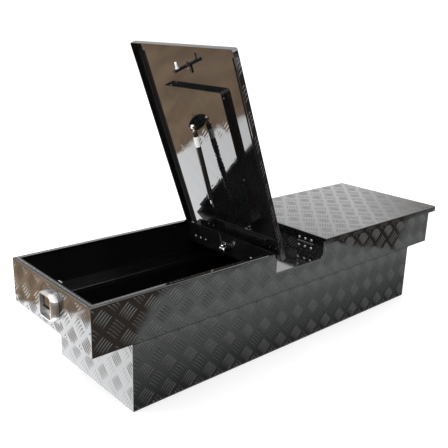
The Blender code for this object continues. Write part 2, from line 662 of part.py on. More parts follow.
def build_strut(materials, side):
    name = SIDE_NAMES[side]
    low = on_side(STRUT_LOW, side)
    top = lid_point(STRUT_TOP, side)
    reach = top - low
    lean = math.atan2(reach.x, reach.z)
    add_part(f"{name}_strut_box_bracket", mirror_to(lower_strut_bracket(), side), materials["zinc"],
             origin=low, smooth=True)
    swing = add_empty(f"{name}_strut_pivot", low, (0.0, lean, 0.0))
    slide = add_empty(f"{name}_strut_slider", (0.0, 0.0, reach.length), parent=swing)
    add_part(f"{name}_strut_rod", strut_rod(), materials["chrome"], parent=swing, smooth=True)
    add_part(f"{name}_strut_cylinder", strut_cylinder(), materials["strut_black"], parent=slide, smooth=True)
    add_part(f"{name}_strut_lid_stud", strut_stud(), materials["zinc"], parent=slide, smooth=True)


# ---------------------------------------------------------------- latches
def latch_loop(outward, half_y, half_z, radius):
    return [Vector((HALF_LENGTH + outward, LATCH_Y + y, LATCH_Z + z))
            for y, z in rounded_rectangle(half_y, half_z, radius, segments=5)]


def latch_dish():
    """Pressed dish: bulged sides, a raised frame and a recess for the paddle."""
    thick = 0.0014
    front = [latch_loop(GAP, 0.0490, 0.0445, 0.030), latch_loop(0.009, 0.0470, 0.0440, 0.029),
             latch_loop(0.016, 0.0430, 0.0425, 0.025), latch_loop(LATCH_PROUD, 0.0375, 0.0405, 0.017),
             latch_loop(LATCH_PROUD, 0.0340, 0.0360, 0.009), latch_loop(0.0055, 0.0325, 0.0350, 0.007)]
    back = [latch_loop(0.0055 - thick, 0.0325 + thick, 0.0350 + thick, 0.008),
            latch_loop(LATCH_PROUD - thick, 0.0340 + thick, 0.0360 + thick, 0.010),
            latch_loop(LATCH_PROUD - thick, 0.0375 - thick, 0.0405 - thick, 0.0155),
            latch_loop(0.016 - thick / 2, 0.0430 - thick, 0.0425 - thick, 0.0235),
            latch_loop(0.009, 0.0470 - thick, 0.0440 - thick, 0.0275),
            latch_loop(GAP, 0.0490 - thick, 0.0445 - thick, 0.0285)]
    bm = bmesh.new()
    rings = [[bm.verts.new(point) for point in loop] for loop in front + back]
    count = len(rings[0])
    floor = len(front) - 1
    bm.faces.new(rings[floor])
    bm.faces.new(rings[floor + 1])
    for index, ring in enumerate(rings):
        if index == floor:
            continue
        neighbour = rings[(index + 1) % len(rings)]
        for step in range(count):
            after = (step + 1) % count
            bm.faces.new((ring[step], ring[after], neighbour[after], neighbour[step]))
    bmesh.ops.recalc_face_normals(bm, faces=bm.faces)
    slot = box((HALF_LENGTH, LUG_LOW - 0.0015, 0.322), (HALF_LENGTH + 0.01, LUG_HIGH + 0.0015, 0.3385))
    dish = cut(bm, slot)
    cross_pin = bmesh.new()
    base = HALF_LENGTH + PADDLE_U
    rod_between(cross_pin, (base, LATCH_Y - 0.0340, PADDLE_TOP), (base, LATCH_Y + 0.0340, PADDLE_TOP), 0.0015, 10)
    dish = join(dish, cross_pin)
    lock_hole = bmesh.new()
    rod_between(lock_hole, (HALF_LENGTH, LOCK_Y, LOCK_Z), (HALF_LENGTH + 0.01, LOCK_Y, LOCK_Z),
                LOCK_RADIUS + GAP, 16)
    return cut(dish, lock_hole)


def latch_paddle():
    """Pull plate with a rolled knuckle, a finger lip and the trip lug behind it."""
    base = HALF_LENGTH + PADDLE_U
    bottom = 0.303
    section = [(base - 0.0008, PADDLE_TOP), (base - 0.0008, bottom + 0.006), (base + 0.0030, bottom),
               (base + 0.0042, bottom + 0.0010), (base + 0.0010, bottom + 0.0068), (base + 0.0010, PADDLE_TOP)]
    plate = prism("y", section, LATCH_Y - PADDLE_HALF, LATCH_Y + PADDLE_HALF)
    barrel = bmesh.new()
    rod_between(barrel, (base, LATCH_Y - PADDLE_HALF, PADDLE_TOP), (base, LATCH_Y + PADDLE_HALF, PADDLE_TOP),
                0.0030, 12)
    paddle = join(plate, barrel)
    lug = box((HALF_LENGTH - 0.014, LUG_LOW, 0.330), (base, LUG_HIGH, 0.336))
    paddle = join(paddle, lug)
    bore = bmesh.new()
    rod_between(bore, (base, LATCH_Y - 0.04, PADDLE_TOP), (base, LATCH_Y + 0.04, PADDLE_TOP), 0.0018, 10)
    return cut(paddle, bore)


def lock_cylinder():
    """Barrel with a key slot outside and a cam inside."""
    length = 0.033
    profile = [(0.0, LOCK_RADIUS - 0.001), (0.0012, LOCK_RADIUS), (length - 0.004, LOCK_RADIUS),
               (length, LOCK_RADIUS)]
    outer_end = HALF_LENGTH + 0.014
    barrel = turned(profile, (outer_end, LOCK_Y, LOCK_Z), (-1.0, 0.0, 0.0), 16)
    cam = box((outer_end - length, LOCK_Y - 0.004, LOCK_Z - 0.0115),
              (outer_end - length + 0.003, LOCK_Y + 0.004, LOCK_Z))
    barrel = join(barrel, cam)
    slot = box((outer_end - 0.003, LOCK_Y - 0.0007, LOCK_Z - 0.0036),
               (outer_end + 0.003, LOCK_Y + 0.0007, LOCK_Z + 0.0036))
    return cut(barrel, slot)


def latch_bracket():
    """Bent bracket inside the end wall: wall flange, shelf, slotted upright and the catch's pivot rivet."""
    wall = HALF_LENGTH - SHEET - GAP
    upright = CATCH_X - 0.0008
    section = [(wall, 0.262), (wall, 0.302), (upright, 0.302), (upright, 0.356),
               (upright - SHEET, 0.356), (upright - SHEET, 0.300), (wall - SHEET, 0.300), (wall - SHEET, 0.262)]
    bracket = prism("y", section, -0.0285, 0.020)
    half = 0.0065
    slot = [(STRIKER_PIN_Y + half, 0.37), (STRIKER_PIN_Y - half, 0.37)]
    slot += arc_points((STRIKER_PIN_Y, STRIKER_PIN_Z), half, math.pi, 2 * math.pi, 6)
    bracket = cut(bracket, prism("x", slot, upright - 0.01, upright + 0.01))
    face = CATCH_X + CATCH_SHEET + 0.0005 - (upright - SHEET / 2)
    rivet = turned([(0.0, CATCH_PIVOT_RADIUS), (face, CATCH_PIVOT_RADIUS), (face + 0.0001, 0.0055),
                    (face + 0.0020, 0.0045)],
                   (upright - SHEET / 2, STRIKER_PIN_Y + CATCH_PIVOT[0], STRIKER_PIN_Z + CATCH_PIVOT[1]),
                   (1.0, 0.0, 0.0), 12)
    return join(bracket, rivet)


def catch_plate():
    """Hook over the striker pin with its thumb tab and the bent tab that the paddle's lug pushes down.

    Drawn round the striker pin's centre, in Y and Z.
    """
    outline = [(-0.0065, -0.024), (-0.0065, 0.005), (0.0035, 0.005), (0.0035, 0.008), (-0.0060, 0.0135),
               (-0.0140, 0.0200), (-0.0140, 0.0385), (-0.0340, 0.0385), (-0.0340, 0.0300),
               (-0.0230, 0.0100), (-0.0230, -0.0160), (-0.0370, -0.0160), (-0.0370, -0.0220),
               (-0.0200, -0.0260)]
    plate = prism("x", outline, CATCH_X, CATCH_X + CATCH_SHEET)
    tab = box((CATCH_X + CATCH_SHEET / 2, LUG_LOW - STRIKER_PIN_Y, -0.018),
              (HALF_LENGTH - 0.010, LUG_HIGH - STRIKER_PIN_Y + 0.001, -0.016))
    plate = join(plate, tab)
    hole = bmesh.new()
    rod_between(hole, (CATCH_X - 0.01, *CATCH_PIVOT), (CATCH_X + 0.01, *CATCH_PIVOT), CATCH_PIVOT_RADIUS + GAP, 12)
    return cut(plate, hole)


def build_latch(materials, side):
    name = SIDE_NAMES[side]
    steel = materials["stainless"]
    zinc = materials["zinc"]
    paddle_axis = on_side((HALF_LENGTH + PADDLE_U, LATCH_Y, PADDLE_TOP), side)
    lock_axis = on_side((HALF_LENGTH, LOCK_Y, LOCK_Z), side)
    catch_axis = on_side((CATCH_X, STRIKER_PIN_Y + CATCH_PIVOT[0], STRIKER_PIN_Z + CATCH_PIVOT[1]), side)
    add_part(f"{name}_latch_dish", mirror_to(latch_dish(), side), steel, smooth=True)
    add_part(f"{name}_latch_paddle", mirror_to(latch_paddle(), side), steel, origin=paddle_axis, smooth=True)
    add_part(f"{name}_lock_cylinder", mirror_to(lock_cylinder(), side), materials["chrome"],
             origin=lock_axis, smooth=True)
    add_part(f"{name}_latch_bracket", mirror_to(latch_bracket(), side), materials["black_sheet"])
    catch = catch_plate()
    bmesh.ops.translate(catch, vec=(0.0, STRIKER_PIN_Y, STRIKER_PIN_Z), verts=catch.verts)
    add_part(f"{name}_latch_catch", mirror_to(catch, side), zinc, origin=catch_axis)


# ---------------------------------------------------------------- assembly
def main():
    for leftover in list(bpy.data.objects):
        bpy.data.objects.remove(leftover)
    materials = make_materials()
    build_box(materials)
    for side in (LEFT, RIGHT):
        lid_pivot = build_lid(materials, side)
        build_hinges(materials, side, lid_pivot)
        build_strut(materials, side)
        build_latch(materials, side)


main()
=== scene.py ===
"""Looks of the gull-wing truck tool box: tread plate, powder coat, bright fittings, studio floor and light.

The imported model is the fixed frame. Every piece is placed in the frame's metres, rides on a body of the
frame, and its place comes from the frame's own boxes and the sizes below.
"""
import json
import math

import bmesh
import bpy
from mathutils import Matrix, Vector


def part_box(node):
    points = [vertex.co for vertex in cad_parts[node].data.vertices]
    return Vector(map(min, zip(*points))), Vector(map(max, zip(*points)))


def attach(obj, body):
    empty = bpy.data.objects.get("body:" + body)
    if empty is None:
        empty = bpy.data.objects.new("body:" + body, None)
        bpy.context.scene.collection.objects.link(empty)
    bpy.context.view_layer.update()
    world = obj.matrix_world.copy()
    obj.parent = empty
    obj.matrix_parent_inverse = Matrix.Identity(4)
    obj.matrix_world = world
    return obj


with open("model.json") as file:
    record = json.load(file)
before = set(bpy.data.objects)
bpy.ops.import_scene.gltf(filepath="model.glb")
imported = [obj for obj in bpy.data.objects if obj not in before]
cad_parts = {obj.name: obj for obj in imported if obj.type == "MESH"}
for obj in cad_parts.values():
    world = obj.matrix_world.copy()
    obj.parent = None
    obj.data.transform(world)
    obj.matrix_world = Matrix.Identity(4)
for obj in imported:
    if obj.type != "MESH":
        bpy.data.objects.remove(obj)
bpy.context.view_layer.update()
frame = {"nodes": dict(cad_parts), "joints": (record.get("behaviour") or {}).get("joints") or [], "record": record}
nodes = frame["nodes"]
joints = {joint["name"]: joint for joint in frame["joints"]}

# ------------------------------------------------------------------ sizes read from the frame
BAND_LOW, BAND_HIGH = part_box("front_band_panel")
REAR_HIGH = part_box("rear_band_panel")[1]
TUB_LOW, TUB_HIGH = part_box("tub_front_panel")
TUB_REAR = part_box("tub_rear_panel")[1].y
RIM = BAND_HIGH.z
HALF_LENGTH = BAND_HIGH.x
HALF_DEPTH = REAR_HIGH.y
BAND_BOTTOM = BAND_LOW.z
TUB_HALF = TUB_HIGH.x
TROUGH_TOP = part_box("trough_floor")[1].z
TROUGH_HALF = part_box("trough_right_wall")[0].x
LID_LOW, LID_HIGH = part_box("right_lid_skin")
LID_TOP = LID_HIGH.z
RIM_WIDTH = BAND_HIGH.y - BAND_LOW.y
LID_ANGLE = math.radians(-joints["left_lid_hinge"]["range_deg"][0])
HINGE = Vector(joints["right_lid_hinge"]["pos_m"])
SIDES = {"left": -1, "right": 1}    # with the sign of x on that side
RIGHT, LEFT = (1, 0, 0), (-1, 0, 0)
REAR, FRONT, UP = (0, 1, 0), (0, -1, 0), (0, 0, 1)

# ------------------------------------------------------------------ sheets
NOTCH_LEFT = 0.118              # the front sheet's cut-out reaches this far left of the centre
NOTCH_MARGIN = 0.003            # the bars stop this far from the cut-outs and the hinge leaves
LATCH_MARGIN = 0.001            # and this far from the latch dish
BEND = 0.003                    # outer bend radius of the folded sheets
LID_FLANGE = 0.022              # height of the lids' folded flanges
FOLD_WIDTH = 0.0035             # dull line beside the rim's folds
FOLD_HEIGHT = 0.00012
FOLD_GAP = 0.020                # the dull line starts this far from the trough's wall
SINK = 0.0001                   # added pieces reach this far into the surface under them
SHARP_ANGLE = math.radians(50.0)    # edges that turn more than this stay sharp

# ------------------------------------------------------------------ tread plate
TREAD_PITCH = 0.085             # like groups of bars repeat on a square grid
BAR_LENGTH = 0.047
BAR_WIDTH = 0.0066
BAR_SPACING = 0.0102
BAR_COUNT = 5                   # bars in a group
BAR_STATIONS = 8                # steps along a bar
BAR_SWELL = (2.6, 0.55)         # powers that shape a bar's outline; (2, 0.5) would be an ellipse
BAR_ACROSS = 4                  # steps across it
BAR_SAMPLES = 16                # steps in which a bar is tested against the sheet's outline
BAR_SHORTEST = 0.007            # a bar that would be cut shorter is left out
BAR_HEIGHT = 0.0013
LID_BAR_HEIGHT = 0.0008
FLANGE_BAR_HEIGHT = 0.0006
RIM_BAR_HEIGHT = 0.00022        # stays in the gap under the lid's seal
EDGE_MARGIN = 0.002             # plain strip along a sheet's edges
FLANGE_MARGIN = 0.001           # plain strip along a narrow flange's edges
TUB_FOOT = 0.001                # the tub's bars may start this far over the ground
TROUGH_INSET = 0.004            # the trough walls' bars stay this far inside the box's depth
PRINT_THROUGH = 0.00010         # the bars show on the lids' undersides as bulges this high
RIDGE_SHARE = 0.6               # of a bulge's height, for each bar's own ridge
GROUP_CENTRE = {                # centre of one group of bars on each sheet, in the sheet's own (u, v)
    "front_band": (-0.7286, 0.3400),
    "rear_band": (0.010, 0.3400),
    "band_end": (0.012, 0.300),
    "tub_front": (-0.669, 0.206),
    "tub_rear": (0.020, 0.206),
    "tub_end": (0.030, 0.185),
    "left_rim": (0.010, -0.018),
    "right_rim": (0.010, 0.018),
    "end_rim": (0.020, 0.010),
    "trough": (0.015, 0.330),
    "lid_top": (0.170, 0.020),
    "lid_front": (0.150, 0.372),
    "lid_rear": (0.160, 0.372),
    "lid_end": (0.010, 0.372),
}

# ------------------------------------------------------------------ fittings
RIVET_PITCH = 0.030
RIVET_OFFSET = 0.0155           # rivet rows above and below the hinge axis
RIVET_HEAD_RADIUS = 0.0047
RIVET_HEAD_RISE = 0.0020
RIVET_TAIL_RADIUS = 0.0037
RIVET_TAIL_RISE = 0.0013
DOME_COVER = 0.0003             # a bright dome stands this far over the rivet's end
DOME_STRAIGHT = 0.25            # share of a dome's height that is straight
DOME_STEPS = 5
WELD_RADIUS = 0.0026
WELD_HEIGHT = 0.0006
WELD_DROP = 0.002               # spot welds lie this far under the middle of the pan's wall
END_WELDS_Y = (0.104,)
SIDE_WELDS_X = (0.424, 0.716)
STRUT_LOW = Vector((0.155, -0.013, 0.3365))     # the right strut's ends, with its lid shut
STRUT_TOP = Vector((0.617, -0.013, 0.337))
# Profiles along the axis from the upper ball's middle, as (distance, radius)
SOCKET_PROFILE = [(-0.0064, 0.0040), (-0.0064, 0.0066), (-0.0050, 0.0078), (0.0050, 0.0078)]
NECK_PROFILE = [(0.0050, 0.0049), (0.0122, 0.0049), (0.0126, 0.0063), (0.0150, 0.0063)]
CYLINDER_RADIUS = 0.0092
LABEL_SPAN = (0.0355, 0.0725)   # distances of the label's ends from the upper ball
LABEL_WRAP = 105.0              # degrees that the label reaches round the cylinder to each side
LABEL_STEPS = 16
LABEL_RISE = 0.0003
LABEL_SINK = 0.0002
ROD_TAPER = 0.001               # the seam and the ledge's edge are thin rods with tapered ends
ROD_INSET = 0.001
SEAM_RADIUS = 0.0013
SEAM_TIP = 0.0005
SEAM_BEHIND = 0.0012            # from the band's face to the seam's middle
SEAM_BELOW = 0.0014             # from the band's lower edge to the seam's middle
LEDGE_EDGE_RADIUS = 0.0009
LEDGE_EDGE_TIP = 0.0004
LEDGE_EDGE_INSIDE = 0.0004      # from the ledge's edge to its rod's middle
SEAL_LIP = 0.014                # width of the rear seal's inner lip
SEAL_LIP_THIN = 0.0005
SEAL_LIP_THICK = 0.0012
SEAL_LIP_FLAT = 0.004           # the lip's full thickness starts this far from the seal
SEAL_GAP = 0.0002               # between the lip and the seal

# ------------------------------------------------------------------ coats and studio
COAT_DARK = (0.0045, 0.0046, 0.0048)
COAT_LIGHT = (0.0085, 0.0087, 0.0090)
COAT_IOR = 1.8                  # high, for the powder coat's deep shine
MIRROR_ROUGH = (0.015, 0.05)    # the lids' undersides, the glossiest coat
NOISE_LOW, NOISE_HIGH = 0.3, 0.7    # most of a noise texture lies between these
TINT_HIGH = 0.75
METAL_SHADE = 0.86              # darkest part of a metal's colour
SKY_RADIUS = 22.0
SKY_FOOT = -2.0                 # the sky's sphere is cut off under this height
# Levels of the sky as (share of its full height, level)
SKY_FRONT = ((0.0, 0.05), (0.08, 0.2), (0.11, 2.9), (0.45, 2.9), (0.62, 2.0), (1.0, 2.4))
SKY_BACK = ((0.0, 1.3), (0.10, 1.6), (0.30, 1.5), (0.40, 1.0), (0.55, 0.9), (0.70, 1.6),
            (0.85, 2.6), (1.0, 2.6))
SKY_DARK = ((0.0, 0.12), (0.17, 0.15), (0.28, 1.7), (0.45, 2.7), (1.0, 2.7))
SKY_RIGHT = (0.16, 0.12, 0.10)  # low down at the far right
SHEET_CENTRE = (-0.10, 0.20)    # the light sheet on the side card is round
SHEET_RADIUS = 1.10
SHEET_BLUR = 0.015              # half the width of its edge
SHEET_LIGHT = (3.9, 3.95, 4.0)
BROWN_DARK = (0.72, 0.50, 0.32)     # ground beyond the light sheet
BROWN_LIGHT = (1.35, 0.97, 0.65)
FRONT_GREY = (0.86, 0.89, 0.90)
LEFT_GROUND = (0.20, 0.145, 0.107)
LEFT_SLANT = 1.16               # slopes of the edges between the grey floor and the ground
RIGHT_GROUND = (0.09, 0.06, 0.043)
RIGHT_SLANT = -0.62
FAR_SLANT = 0.55
FLOOR_REACH = 14.0              # each card reaches this far from the middle
FLOOR_DROP = 0.001              # the floor lies this far under the cards
FLOOR_DARK = (0.86, 0.86, 0.86)
FLOOR_LIGHT = (0.90, 0.90, 0.90)
FLOOR_ROUGHNESS = 0.9
FLOOR_GLOW = 0.25
FRONT_CARD_REACH = 13.0
FRONT_CARD_EDGE = -0.252        # just in front of the box
SIDE_CARD_REACH = 6.0
SIDE_CARD_CORNER = (-0.1, -0.245)   # its front right corner, under the box
WORLD_LEVEL = 1.15
LIGHT_TARGET = (0.0, 0.0, 0.3)
CAMERA_PLACE = (-1.6298, -1.6516, 1.1307)
CAMERA_AZIMUTH = math.radians(-41.93)
CAMERA_ELEVATION = math.radians(17.50)
CAMERA_ROLL = math.radians(1.752)
CAMERA_LENS = 50.71
SENSOR_WIDTH = 36.0
CAMERA_CLIP = (0.05, 60.0)


# ------------------------------------------------------------------ materials
class Nodes:
    """Small helper that wires one node material."""

    def __init__(self, name):
        self.material = bpy.data.materials.new(name)
        self.material.use_nodes = True
        self.tree = self.material.node_tree
        self.shader = self.tree.nodes["Principled BSDF"]
        self.coordinates = self.tree.nodes.new("ShaderNodeTexCoord").outputs["Object"]

    def link(self, output, socket):
        """Join a node's output to a socket."""
        self.tree.links.new(output, socket)

    def scaled(self, stretch):
        """The object's coordinates, stretched."""
        mapping = self.tree.nodes.new("ShaderNodeMapping")
        mapping.inputs["Scale"].default_value = stretch
        self.link(self.coordinates, mapping.inputs["Vector"])
        return mapping.outputs["Vector"]

    def noise(self, scale, detail, stretch=(1.0, 1.0, 1.0)):
        """Noise texture as a number."""
        node = self.tree.nodes.new("ShaderNodeTexNoise")
        node.inputs["Scale"].default_value = scale
        node.inputs["Detail"].default_value = detail
        self.link(self.scaled(stretch), node.inputs["Vector"])
        return node.outputs["Fac"]

    def ramp(self, value, low, high, start=NOISE_LOW, end=NOISE_HIGH):
        """Number that goes from low to high while the value goes from start to end."""
        node = self.tree.nodes.new("ShaderNodeMapRange")
        node.inputs["From Min"].default_value = start
        node.inputs["From Max"].default_value = end
        node.inputs["To Min"].default_value = low
        node.inputs["To Max"].default_value = high
        self.link(value, node.inputs["Value"])
        return node.outputs["Result"]

    def tint(self, value, low, high):
        """Colour that goes from low to high with a noise value."""
        node = self.tree.nodes.new("ShaderNodeValToRGB")
        node.color_ramp.elements[0].position = NOISE_LOW
        node.color_ramp.elements[0].color = (*low, 1.0)
        node.color_ramp.elements[1].position = TINT_HIGH
        node.color_ramp.elements[1].color = (*high, 1.0)
        self.link(value, node.inputs["Fac"])
        return node.outputs["Color"]

    def math(self, operation, first, second=None):
        """One math node; each side is a number or another node's output."""
        node = self.tree.nodes.new("ShaderNodeMath")
        node.operation = operation
        for socket, value in zip(node.inputs, (first, second)):
            if isinstance(value, (int, float)):
                socket.default_value = value
            elif value is not None:
                self.link(value, socket)
        return node.outputs["Value"]

    def bump(self, heights, distance):
        """One bump node for each height, chained."""
        normal = None
        for height in heights:
            node = self.tree.nodes.new("ShaderNodeBump")
            node.inputs["Distance"].default_value = distance
            self.link(height, node.inputs["Height"])
            if normal is not None:
                self.link(normal, node.inputs["Normal"])
            normal = node.outputs["Normal"]
        self.link(normal, self.shader.inputs["Normal"])


def coated(name, ior):
    """Start of a black gloss coat with faint dust in its colour."""
    made = Nodes(name)
    made.shader.inputs["IOR"].default_value = ior
    dust = made.noise(scale=9.0, detail=5.0)
    made.link(made.tint(dust, COAT_DARK, COAT_LIGHT), made.shader.inputs["Base Color"])
    return made


def powder_coat(name, rough, ior, peel):
    """Gloss black powder coat: orange peel as high as peel, and uneven gloss."""
    made = coated(name, ior)
    smear = made.noise(scale=14.0, detail=4.0, stretch=(1.0, 1.0, 0.4))
    made.link(made.ramp(smear, *rough), made.shader.inputs["Roughness"])
    made.bump([made.noise(scale=420.0, detail=2.0), made.noise(scale=26.0, detail=2.0)], peel)
    return made.material


def mirror_coat(name, turn):
    """Smooth gloss coat of a lid's underside; the tread bars print through the sheet as faint bulges.

    turn is the angle that brings the lid's points back to the shut lid.
    """
    made = coated(name, COAT_IOR)
    gloss = made.noise(scale=14.0, detail=4.0)
    made.link(made.ramp(gloss, *MIRROR_ROUGH), made.shader.inputs["Roughness"])
    mapping = made.tree.nodes.new("ShaderNodeMapping")
    mapping.inputs["Rotation"].default_value = (0.0, turn, 0.0)
    made.link(made.coordinates, mapping.inputs["Vector"])
    split = made.tree.nodes.new("ShaderNodeSeparateXYZ")
    made.link(mapping.outputs["Vector"], split.inputs["Vector"])
    x, y = split.outputs["X"], split.outputs["Y"]
    group_rate = 2 * math.pi / TREAD_PITCH
    bar_rate = 2 * math.pi / (BAR_SPACING * math.sqrt(2))
    waves = [made.math("SINE", made.math("MULTIPLY", place, group_rate)) for place in (x, y)]
    bulges = made.math("MULTIPLY", waves[0], waves[1])
    ridges = []
    for operation, group in (("ADD", bulges), ("SUBTRACT", made.math("MULTIPLY", bulges, -1.0))):
        across = made.math("MULTIPLY", made.math(operation, x, y), bar_rate)
        shown = made.math("MAXIMUM", group, 0.0)
        ridges.append(made.math("MULTIPLY", shown, made.math("SINE", across)))
    fine = made.math("MULTIPLY", made.math("ADD", ridges[0], ridges[1]), RIDGE_SHARE)
    made.bump([made.math("ADD", bulges, fine)], PRINT_THROUGH)
    return made.material


def bright_metal(name, base, rough, brush):
    """Plated or polished metal with fine brushing."""
    made = Nodes(name)
    made.shader.inputs["Metallic"].default_value = 1.0
    cloud = made.noise(scale=60.0, detail=4.0)
    shade = tuple(channel * METAL_SHADE for channel in base)
    made.link(made.tint(cloud, shade, base), made.shader.inputs["Base Color"])
    made.link(made.ramp(cloud, *rough), made.shader.inputs["Roughness"])
    made.bump([made.noise(scale=260.0, detail=3.0, stretch=(1.0, 1.0, 8.0))], brush)
    return made.material


def plain_paint(name, dark, light, rough, grain, scale, specular=0.5):
    """Paint, rubber or paper, slightly uneven in colour and gloss; grain is its relief's height."""
    made = Nodes(name)
    made.shader.inputs["Specular IOR Level"].default_value = specular
    made.link(made.tint(made.noise(scale=35.0, detail=4.0), dark, light), made.shader.inputs["Base Color"])
    made.link(made.ramp(made.noise(scale=80.0, detail=3.0), *rough), made.shader.inputs["Roughness"])
    made.bump([made.noise(scale=scale, detail=3.0)], grain)
    return made.material


materials = {
    "black_tread": powder_coat("tread_coat", rough=(0.03, 0.08), ior=COAT_IOR, peel=0.00002),
    "tread_bar": powder_coat("bar_coat", rough=(0.285, 0.31), ior=COAT_IOR, peel=0.00001),
    "black_sheet": powder_coat("sheet_coat", rough=(0.14, 0.24), ior=1.6, peel=0.00004),
    "black_gloss": mirror_coat("mirror_coat", turn=0.0),
    "left_underside": mirror_coat("left_mirror_coat", turn=-LID_ANGLE),
    "inside_coat": plain_paint("inside_coat", COAT_DARK, COAT_LIGHT,
                               rough=(0.35, 0.5), grain=0.00002, scale=300.0, specular=0.06),
    "polished_sheet": powder_coat("polished_sheet", rough=(0.06, 0.14), ior=2.9, peel=0.00003),
    # The striker pins' light grey paint is a painted reflection: it stands in for the bright sky in their chrome.
    "bright_pin": plain_paint("bright_pin", dark=(0.66, 0.67, 0.68), light=(0.85, 0.86, 0.87),
                              rough=(0.18, 0.30), grain=0.00001, scale=300.0),
    "zinc": bright_metal("zinc_plate", base=(0.78, 0.77, 0.74), rough=(0.16, 0.30), brush=0.00002),
    "stainless": bright_metal("satin_stainless", base=(0.50, 0.50, 0.495), rough=(0.30, 0.38), brush=0.00001),
    # Dark metal of the latch paddles: painted shade of the recess in the latch dish.
    "dark_mirror": bright_metal("worn_mirror", base=(0.13, 0.125, 0.12), rough=(0.05, 0.10), brush=0.00001),
    "chrome": bright_metal("chrome_plate", base=(0.90, 0.90, 0.91), rough=(0.04, 0.10), brush=0.000005),
    "strut_black": plain_paint("strut_paint", dark=(0.006, 0.006, 0.006), light=(0.011, 0.011, 0.011),
                               rough=(0.22, 0.34), grain=0.00001, scale=500.0),
    "seal_rubber": plain_paint("seal_foam", dark=(0.0025, 0.0025, 0.0025), light=(0.005, 0.005, 0.005),
                               rough=(0.75, 0.92), grain=0.00020, scale=380.0, specular=0.1),
    "label": plain_paint("blank_label", dark=(0.70, 0.71, 0.71), light=(0.80, 0.80, 0.80),
                         rough=(0.35, 0.5), grain=0.00001, scale=300.0),
}
slot_of = {part["node"]: part["material_slot"] for part in frame["record"]["subparts"]}
for name, node in nodes.items():
    node.data.materials.clear()
    node.data.materials.append(materials[slot_of[name]])
for side in SIDES:
    # Painted reflection: the chrome striker pins get the light grey paint.
    nodes[f"{side}_striker_pin"].data.materials[0] = materials["bright_pin"]
    # Painted shade: the latch paddles in their recessed dish get the dark metal.
    nodes[f"{side}_latch_paddle"].data.materials[0] = materials["dark_mirror"]
nodes["rear_ledge"].data.materials[0] = materials["inside_coat"]
nodes["trough_floor"].data.materials[0] = materials["polished_sheet"]
nodes["left_lid_stiffener"].data.materials[0] = materials["left_underside"]


# ------------------------------------------------------------------ tread bars
def bar_section():
    """Points along a unit bar, each with its share of the full width and height; the ends are pointed."""
    stations = []
    for step in range(BAR_STATIONS + 1):
        along = -1.0 + 2.0 * step / BAR_STATIONS
        along = math.sin(along * math.pi / 2)
        swell = max(0.0, 1.0 - abs(along) ** BAR_SWELL[0]) ** BAR_SWELL[1]
        stations.append((along, swell))
    return stations


STATIONS = bar_section()


def between(start, end, share):
    """The point at a share of the way from start to end."""
    return start[0] + (end[0] - start[0]) * share, start[1] + (end[1] - start[1]) * share


def add_bar(bm, place, start, end, height):
    """One raised bar between two surface points (u, v); place maps (u, v, w) to the frame."""
    middle = ((start[0] + end[0]) / 2, (start[1] + end[1]) / 2)
    along = ((end[0] - start[0]) / 2, (end[1] - start[1]) / 2)
    length = math.hypot(*along)
    across = (-along[1] / length, along[0] / length)

    def vertex(position, offset, rise):
        u = middle[0] + along[0] * position + across[0] * offset
        v = middle[1] + along[1] * position + across[1] * offset
        return bm.verts.new(place(u, v, rise))

    rows = []
    for position, swell in STATIONS[1:-1]:
        row = []
        for step in range(BAR_ACROSS + 1):
            side = -1.0 + 2.0 * step / BAR_ACROSS
            rise = height * swell * (1.0 - abs(side)) if abs(side) < 1 else -SINK
            row.append(vertex(position, side * BAR_WIDTH / 2 * swell, rise))
        rows.append(row)
    tips = [vertex(position, 0.0, -SINK) for position in (-1, 1)]
    for row, following in zip(rows, rows[1:]):
        for step in range(BAR_ACROSS):
            bm.faces.new((row[step], row[step + 1], following[step + 1], following[step]))
    for step in range(BAR_ACROSS):
        bm.faces.new((tips[0], rows[0][step + 1], rows[0][step]))
        bm.faces.new((tips[1], rows[-1][step], rows[-1][step + 1]))
    bottom = [tips[0], *[row[0] for row in rows], tips[1], *[row[-1] for row in reversed(rows)]]
    bm.faces.new(bottom)


def kept_run(start, end, inside):
    """The longest stretch of a bar that lies on the sheet, as two shares of its length."""
    best = (0, -1)
    run = None
    for step in range(BAR_SAMPLES + 1):
        if inside(*between(start, end, step / BAR_SAMPLES)):
            run = (run[0] if run else step, step)
            if run[1] - run[0] > best[1] - best[0]:
                best = run
        else:
            run = None
    return best[0] / BAR_SAMPLES, best[1] / BAR_SAMPLES


def add_group(bm, place, centre, turn, inside, height):
    """Bars side by side about a centre; turn is the angle at which they run."""
    direction = (math.cos(turn), math.sin(turn))
    for index in range(BAR_COUNT):
        offset = (index - (BAR_COUNT - 1) / 2) * BAR_SPACING
        middle = (centre[0] - direction[1] * offset, centre[1] + direction[0] * offset)
        start = (middle[0] - direction[0] * BAR_LENGTH / 2, middle[1] - direction[1] * BAR_LENGTH / 2)
        end = (middle[0] + direction[0] * BAR_LENGTH / 2, middle[1] + direction[1] * BAR_LENGTH / 2)
        low, high = kept_run(start, end, inside)
        if (high - low) * BAR_LENGTH >= BAR_SHORTEST:
            add_bar(bm, place, between(start, end, low), between(start, end, high), height)


def add_tread(name, body, place, region, inside, first_centre, height=BAR_HEIGHT):
    """Bars of one sheet; region is (u low, u high, v low, v high), and inside(u, v) is true on the sheet."""
    bm = bmesh.new()
    half_pitch = TREAD_PITCH / 2
    first_u = math.floor((region[0] - first_centre[0]) / half_pitch) - 1
    last_u = math.ceil((region[1] - first_centre[0]) / half_pitch) + 1
    first_v = math.floor((region[2] - first_centre[1]) / half_pitch) - 1
    last_v = math.ceil((region[3] - first_centre[1]) / half_pitch) + 1
    for column in range(first_u, last_u + 1):
        for row in range(first_v, last_v + 1):
            if (column + row) % 2:
                continue
            turn = math.radians(45.0 if column % 2 == 0 else -45.0)
            centre = (column * half_pitch + first_centre[0], row * half_pitch + first_centre[1])
            add_group(bm, place, centre, turn, inside, height)
    add_piece(name, body, bm, "tread_bar")


